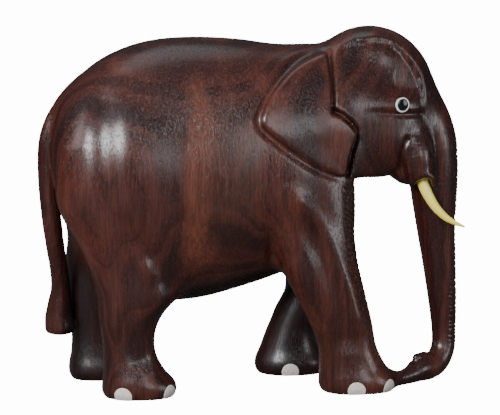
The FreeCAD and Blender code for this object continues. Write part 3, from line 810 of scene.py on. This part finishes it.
def turned(name, profile, seat, outward, closed, around=72):
    """A turned piece: the profile gives radius and height out of the seat, in millimetres."""
    outward = Vector(outward).normalized()
    up = Vector((0, 0, 1))
    side = outward.cross(up).normalized()
    points, faces = [], []
    for radius, rise in profile:
        for n in range(around):
            a = 2 * math.pi * n / around
            at = Vector(seat) + side * radius * math.cos(a) + up * radius * math.sin(a) + outward * rise
            points.append(at * MM)
    rows = len(profile)
    for k in range(rows if closed else rows - 1):
        for n in range(around):
            m, j = (n + 1) % around, (k + 1) % rows
            faces.append((k * around + n, k * around + m, j * around + m, j * around + n))
    mesh = bpy.data.meshes.new(name)
    mesh.from_pydata(points, [], faces)
    work = bmesh.new()
    work.from_mesh(mesh)
    bmesh.ops.remove_doubles(work, verts=work.verts, dist=1e-7)
    bmesh.ops.recalc_face_normals(work, faces=work.faces)
    work.to_mesh(mesh)
    work.free()
    mesh.polygons.foreach_set("use_smooth", np.ones(len(mesh.polygons), bool))
    return mesh


def surface(point, outward):
    """Where a line through a point, along outward, leaves the block."""
    reach = np.linspace(-6, 6, 241)
    line = np.asarray(point)[:, None] + np.asarray(outward)[:, None] * reach
    value = block(line)
    n = np.nonzero(value < 0)[0].max()
    t = reach[n] + (reach[n + 1] - reach[n]) * value[n] / (value[n] - value[n + 1])
    return np.asarray(point) + np.asarray(outward) * t


flecked, out = effect("eye_white_tone", {"Colour": "Color", "Roughness": "Float"})
cloud = noise(flecked, millimetres(flecked), 1.6, 3.0, 0.6).outputs["Fac"]
colour = tint(flecked, spread(flecked, cloud, 0.35, 0.7), (0.80, 0.78, 0.72, 1), (0.62, 0.58, 0.50, 1))
flecked.links.new(colour, out.inputs["Colour"])
rough = number(flecked, "ADD", number(flecked, "MULTIPLY", cloud, 0.2), 0.2)
flecked.links.new(rough, out.inputs["Roughness"])
eye_white, tree, shader = material("eye_white", {"Specular IOR Level": 0.5})
ring_look = use(tree, flecked)
tree.links.new(ring_look["Colour"], shader.inputs["Base Color"])
tree.links.new(ring_look["Roughness"], shader.inputs["Roughness"])

smoky, out = effect("bead_tone", {"Colour": "Color", "Roughness": "Float"})
cloud = noise(smoky, millimetres(smoky), 0.8, 2.0).outputs["Fac"]
colour = tint(smoky, spread(smoky, cloud, 0.35, 0.7), (0.003, 0.004, 0.005, 1), (0.008, 0.011, 0.013, 1))
smoky.links.new(colour, out.inputs["Colour"])
smoky.links.new(number(smoky, "ADD", number(smoky, "MULTIPLY", cloud, 0.12), 0.05), out.inputs["Roughness"])
GLASS_GLOSS = {"Specular IOR Level": 0.35, "Coat Weight": 0.1, "Coat Roughness": 0.08}
eye_black, tree, shader = material("eye_black", GLASS_GLOSS)
bead_look = use(tree, smoky)
tree.links.new(bead_look["Colour"], shader.inputs["Base Color"])
tree.links.new(bead_look["Roughness"], shader.inputs["Roughness"])

for name, side in SIDES.items():
    low, high = (np.array(corner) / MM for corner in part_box(f"{name}_eye_ring"))
    outward = np.array((math.sin(math.radians(EYE_TURN)), side * math.cos(math.radians(EYE_TURN)), 0.0))
    seat = surface((low + high) / 2, outward)
    slope = gradient(block, np.array([seat]))[0]
    outward = slope / np.linalg.norm(slope)
    seat = seat + outward * EYE_PROUD
    mesh = turned(f"{name}_eye_white_ring", RING, seat, outward, True)
    place_piece(f"{name}_eye_white_ring", mesh, eye_white, f"{name}_eye_ring")
    mesh = turned(f"{name}_eye_black_bead", BEAD, seat, outward, False)
    place_piece(f"{name}_eye_black_bead", mesh, eye_black, f"{name}_eye_bead")

# ---------------------------------------------------------------------------------------------------------
# Toenails. Round off-white plugs let into the rim of every foot, then rasped and sanded flush with it and
# with the sole, so each has a curved top and a straight lower edge.

NAIL_RADIUS = 3.85
NAIL_DEPTH = 1.6
NAIL_PROUD = 0.10

speckled, out = effect("nail_speckle", {"Colour": "Color", "Roughness": "Float", "Height": "Float"})
specks = noise(speckled, millimetres(speckled, (2.4, 2.4, 1.2)), 1.0, 4.0, 0.7).outputs["Fac"]
cloud = noise(speckled, millimetres(speckled), 0.5, 2.0).outputs["Fac"]
colour = tint(speckled, spread(speckled, specks, 0.30, 0.72), (0.50, 0.42, 0.37, 1), (0.76, 0.70, 0.64, 1))
clouded = number(speckled, "MULTIPLY", spread(speckled, cloud, 0.4, 0.7), 0.3)
colour = tint(speckled, clouded, colour, (0.70, 0.62, 0.52, 1))
speckled.links.new(colour, out.inputs["Colour"])
rough = number(speckled, "ADD", number(speckled, "MULTIPLY", specks, 0.3), 0.35)
speckled.links.new(rough, out.inputs["Roughness"])
speckled.links.new(specks, out.inputs["Height"])
nail_white, tree, shader = material("nail_white", {"Specular IOR Level": 0.4})
nail_look = use(tree, speckled)
edge = spread(tree, node(tree, "ShaderNodeNewGeometry").outputs["Pointiness"], 0.54, 0.66)
colour = tint(tree, number(tree, "MULTIPLY", edge, 0.5), nail_look["Colour"], (0.30, 0.20, 0.13, 1))
tree.links.new(colour, shader.inputs["Base Color"])
tree.links.new(nail_look["Roughness"], shader.inputs["Roughness"])
bump = node(tree, "ShaderNodeBump", {"Height": nail_look["Height"], "Strength": 0.4, "Distance": 0.0001})
tree.links.new(bump.outputs["Normal"], shader.inputs["Normal"])

HIND_NAILS = ("outer_side", "outer_corner", "inner_corner")
NAIL_PLACES = {
    "front_right": ("outer_side", "outer_corner", "inner_side"),
    "front_left": ("outer_side", "outer_corner", "inner_corner", "inner_side"),
    "hind_right": HIND_NAILS,
    "hind_left": HIND_NAILS,
}
for leg_name, places in NAIL_PLACES.items():
    rows = LEGS[leg_name]
    for place_name in places:
        node_name = f"{leg_name}_{place_name}_nail"
        low, high = (np.array(corner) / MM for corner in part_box(node_name))
        middle = (low + high) / 2
        middle[2] = 1.8
        _, along, across, long, wide = rows[1]
        outward = np.array(((middle[0] - along) / long**2, (middle[1] - across) / wide**2, 0.0))
        outward /= np.linalg.norm(outward)
        seat = surface(middle, outward)

        def plug(p):
            x, y, z = (c - s for c, s in zip(p, seat))
            out_by = x * outward[0] + y * outward[1]
            aside = x * outward[1] - y * outward[0]
            side_wall = np.hypot(aside, z) - NAIL_RADIUS
            form = meet(side_wall, block(p) - NAIL_PROUD, 0.35)
            form = np.maximum(form, -NAIL_DEPTH - out_by)
            return np.maximum(form, -z - seat[2])

        mesh = skin_of(f"{node_name}_plug", plug, seat - 6.0, seat + 6.0, 0.42)
        place_piece(f"{node_name}_plug", mesh, nail_white, node_name)

# ---------------------------------------------------------------------------------------------------------
# Floor, light and camera: a white sweep in a studio, lit through five soft oval lamps, the strongest of them
# high on the left. The sweep glows white for the camera only, so that it doesn't grey the waxed wood.

scene = bpy.context.scene
camera = bpy.data.objects.new("camera", bpy.data.cameras.new("camera"))
scene.collection.objects.link(camera)
azimuth, elevation, distance = math.radians(-7.0), math.radians(8.0), 0.95
aim = Vector((0.0, 0.0, 0.0743))
away = Vector((
    math.sin(azimuth) * math.cos(elevation),
    -math.cos(azimuth) * math.cos(elevation),
    math.sin(elevation),
))
camera.location = aim + away * distance
camera.rotation_euler = (-away).to_track_quat("-Z", "Y").to_euler()
camera.data.lens = 162.9
camera.data.sensor_width = 36.0
scene.camera = camera

WHITE_OUT = 14.0  # brightness of the sweep as the camera sees it
floor_mesh = bpy.data.meshes.new("floor")
FLOOR_HALF = 6
floor_corners = [(x * FLOOR_HALF, y * FLOOR_HALF, 0) for x, y in ((-1, -1), (1, -1), (1, 1), (-1, 1))]
floor_mesh.from_pydata(floor_corners, [], [(0, 1, 2, 3)])
floor = bpy.data.objects.new("floor", floor_mesh)
scene.collection.objects.link(floor)
floor_look, tree, shader = material("floor", {"Base Color": (0.09, 0.09, 0.09, 1), "Roughness": 1.0})
shader.inputs["Emission Color"].default_value = (1.0, 1.0, 1.0, 1.0)
seen = number(tree, "MULTIPLY", node(tree, "ShaderNodeLightPath").outputs["Is Camera Ray"], WHITE_OUT)
tree.links.new(seen, shader.inputs["Emission Strength"])
floor_mesh.materials.append(floor_look)

world = bpy.data.worlds.new("world")
scene.world = world
world.use_nodes = True
tree = world.node_tree
direction = node(tree, "ShaderNodeTexCoord").outputs["Generated"]
upward = node(tree, "ShaderNodeSeparateXYZ", {0: direction}).outputs["Z"]
rays = node(tree, "ShaderNodeLightPath").outputs
fill = tint(tree, spread(tree, upward, -0.1, 0.9), (0.055, 0.055, 0.058, 1), (0.36, 0.36, 0.37, 1))
shine = tint(tree, spread(tree, upward, -0.1, 0.9), (0.018, 0.018, 0.020, 1), (0.15, 0.15, 0.16, 1))
seen = tint(tree, rays["Is Glossy Ray"], fill, shine)
seen = tint(tree, rays["Is Camera Ray"], seen, (WHITE_OUT, WHITE_OUT, WHITE_OUT, 1))
tree.links.new(seen, tree.nodes["Background"].inputs["Color"])
tree.nodes["Background"].inputs["Strength"].default_value = 1.0

LAMPS = {  # direction from the figure, distance, width, height, power
    "left": ((-0.55, -0.75, 0.42), 0.8, 0.46, 0.28, 9.0),
    "behind_left": ((-0.96, -0.22, 0.50), 0.9, 0.3, 0.5, 1.6),
    "overhead": ((-0.10, 0.10, 1.0), 0.9, 0.7, 0.5, 1.5),
    "front": ((0.34, -0.85, 0.20), 1.2, 0.34, 0.44, 2.1),
    "front_right": ((0.84, -0.50, 0.10), 1.0, 0.34, 0.50, 2.4),
}
for name, (towards, far, wide, tall, power) in LAMPS.items():
    lamp = bpy.data.objects.new(f"{name}_lamp", bpy.data.lights.new(f"{name}_lamp", "AREA"))
    lamp.data.shape = "ELLIPSE"
    lamp.data.size, lamp.data.size_y = wide, tall
    lamp.data.energy = power
    lamp.location = aim + Vector(towards).normalized() * far
    lamp.rotation_euler = (aim - lamp.location).to_track_quat("-Z", "Y").to_euler()
    lamp.data.color = (0.94, 0.97, 1.0)
    scene.collection.objects.link(lamp)
